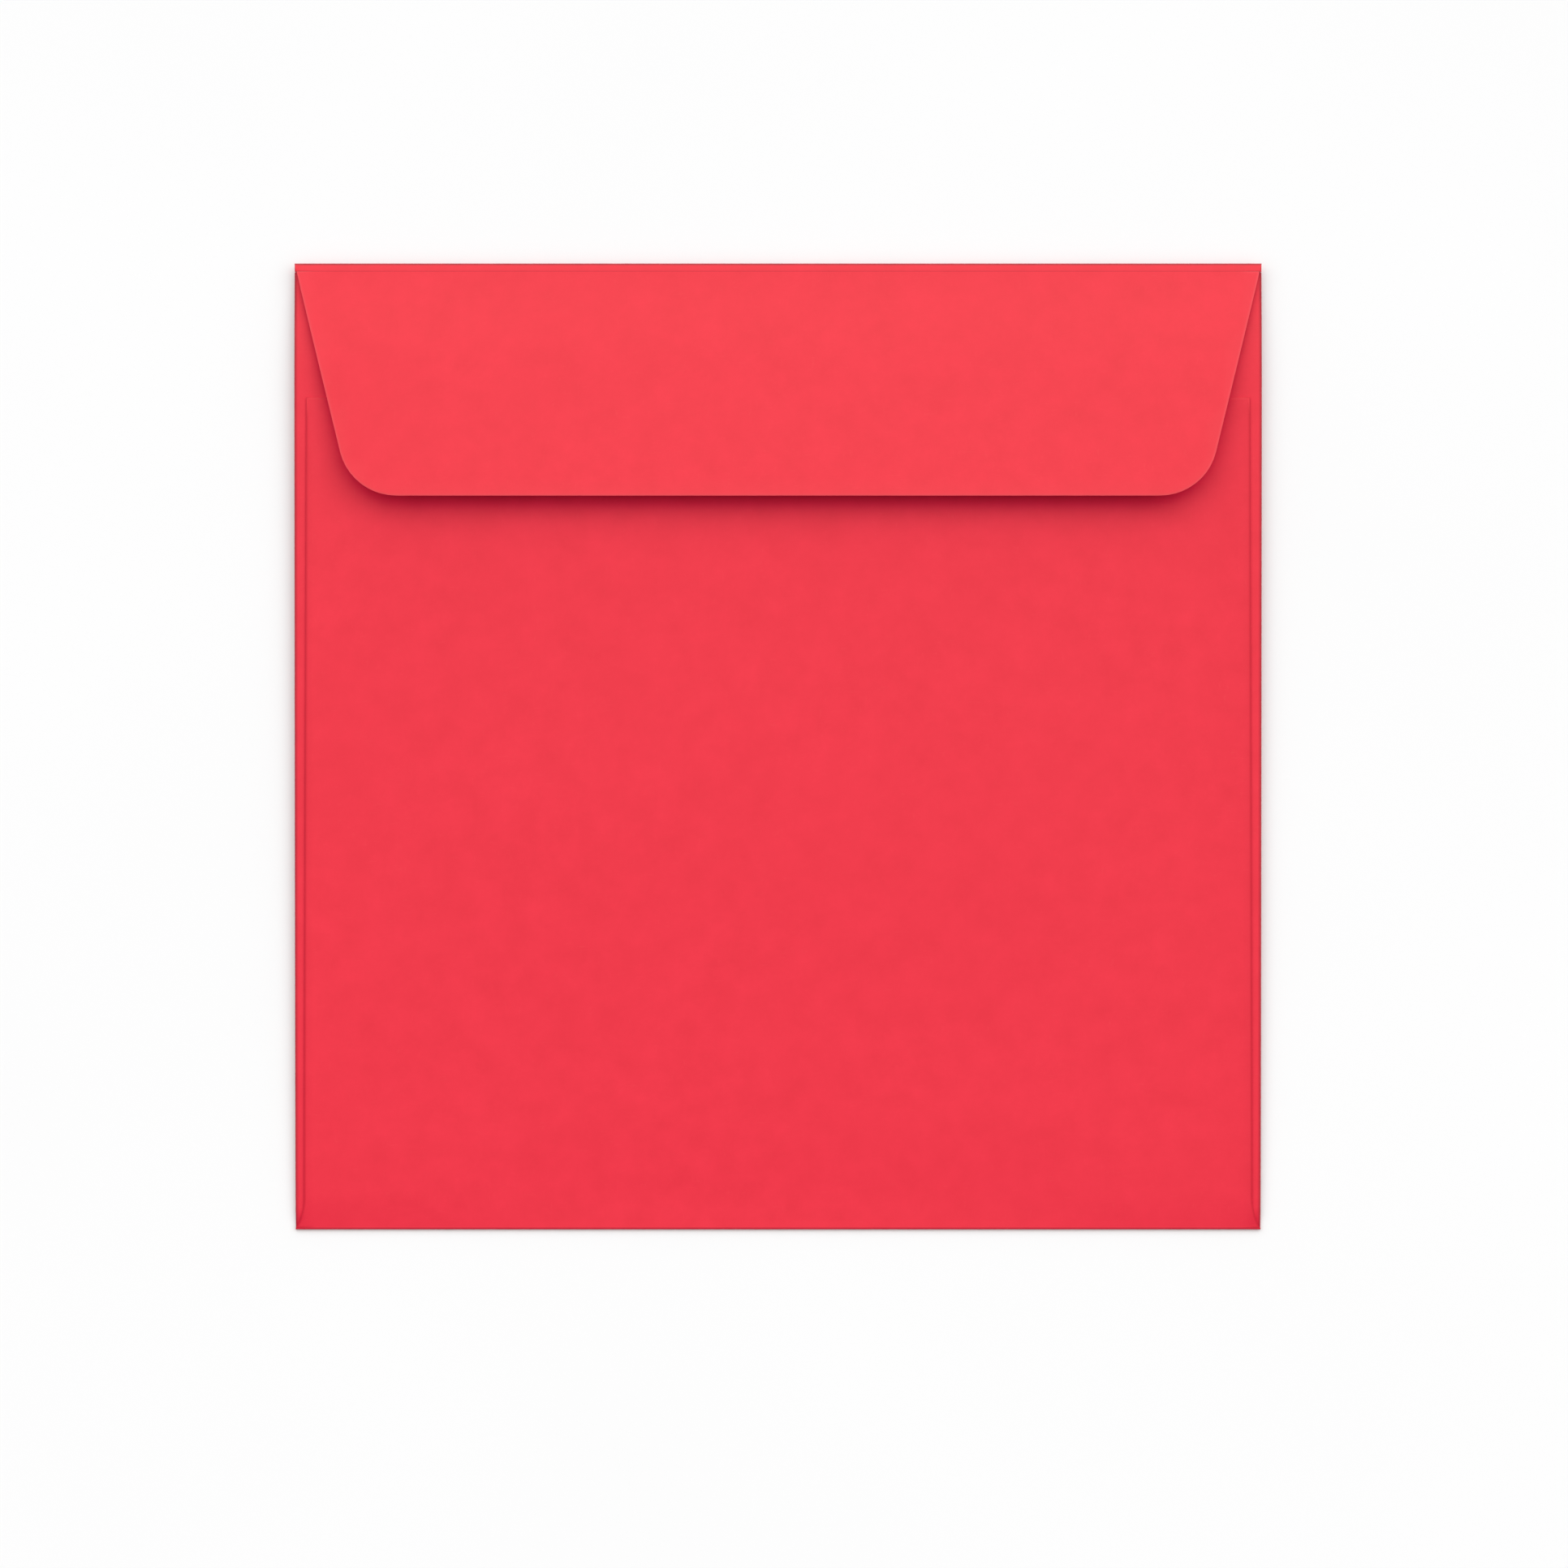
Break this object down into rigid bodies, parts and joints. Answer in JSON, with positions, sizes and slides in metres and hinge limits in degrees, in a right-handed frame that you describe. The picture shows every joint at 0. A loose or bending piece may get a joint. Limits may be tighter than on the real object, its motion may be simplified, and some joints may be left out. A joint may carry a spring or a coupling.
{
  "type": "square envelope",
  "caption": "Square paper envelope with a glued pocket, a straight-sided seal flap that folds on its top crease, and a peel-off strip that covers its adhesive.",
  "frame": {"origin": "on the address face, under the middle of the envelope's outline", "axes": "+Z out of the back (flap) side, +Y towards the top fold that the seal flap turns on, +X to the right as the back side is looked at"},
  "size_m": [0.155, 0.155, 0.0048],
  "materials": {
    "red_paper": "matte",
    "seam_glue": "satin",
    "flap_adhesive": "gloss",
    "liner_paper": "satin"
  },
  "bodies": {
    "envelope": {"front_panel": "red_paper", "back_panel": "red_paper", "left_side_flap": "red_paper", "right_side_flap": "red_paper", "bottom_fold": "red_paper", "left_fold": "red_paper", "right_fold": "red_paper", "top_crease": "red_paper", "left_seam_glue": "seam_glue", "right_seam_glue": "seam_glue"},
    "flap": {"seal_flap": "red_paper", "adhesive_strip": "flap_adhesive"},
    "liner": {"release_liner": "liner_paper"}
  },
  "joints": [
    {"name": "flap_hinge", "type": "hinge", "parent": "envelope", "child": "flap", "pos_m": [0, 0.07653, 0.00097], "axis": [-1, 0, 0], "range_deg": [-4.5, 175.5], "deforming": ["top_crease"]},
    {"name": "liner_peel", "type": "slide", "parent": "flap", "child": "liner", "axis": [1, 0, 0], "range_m": [0, 0.15]}
  ]
}
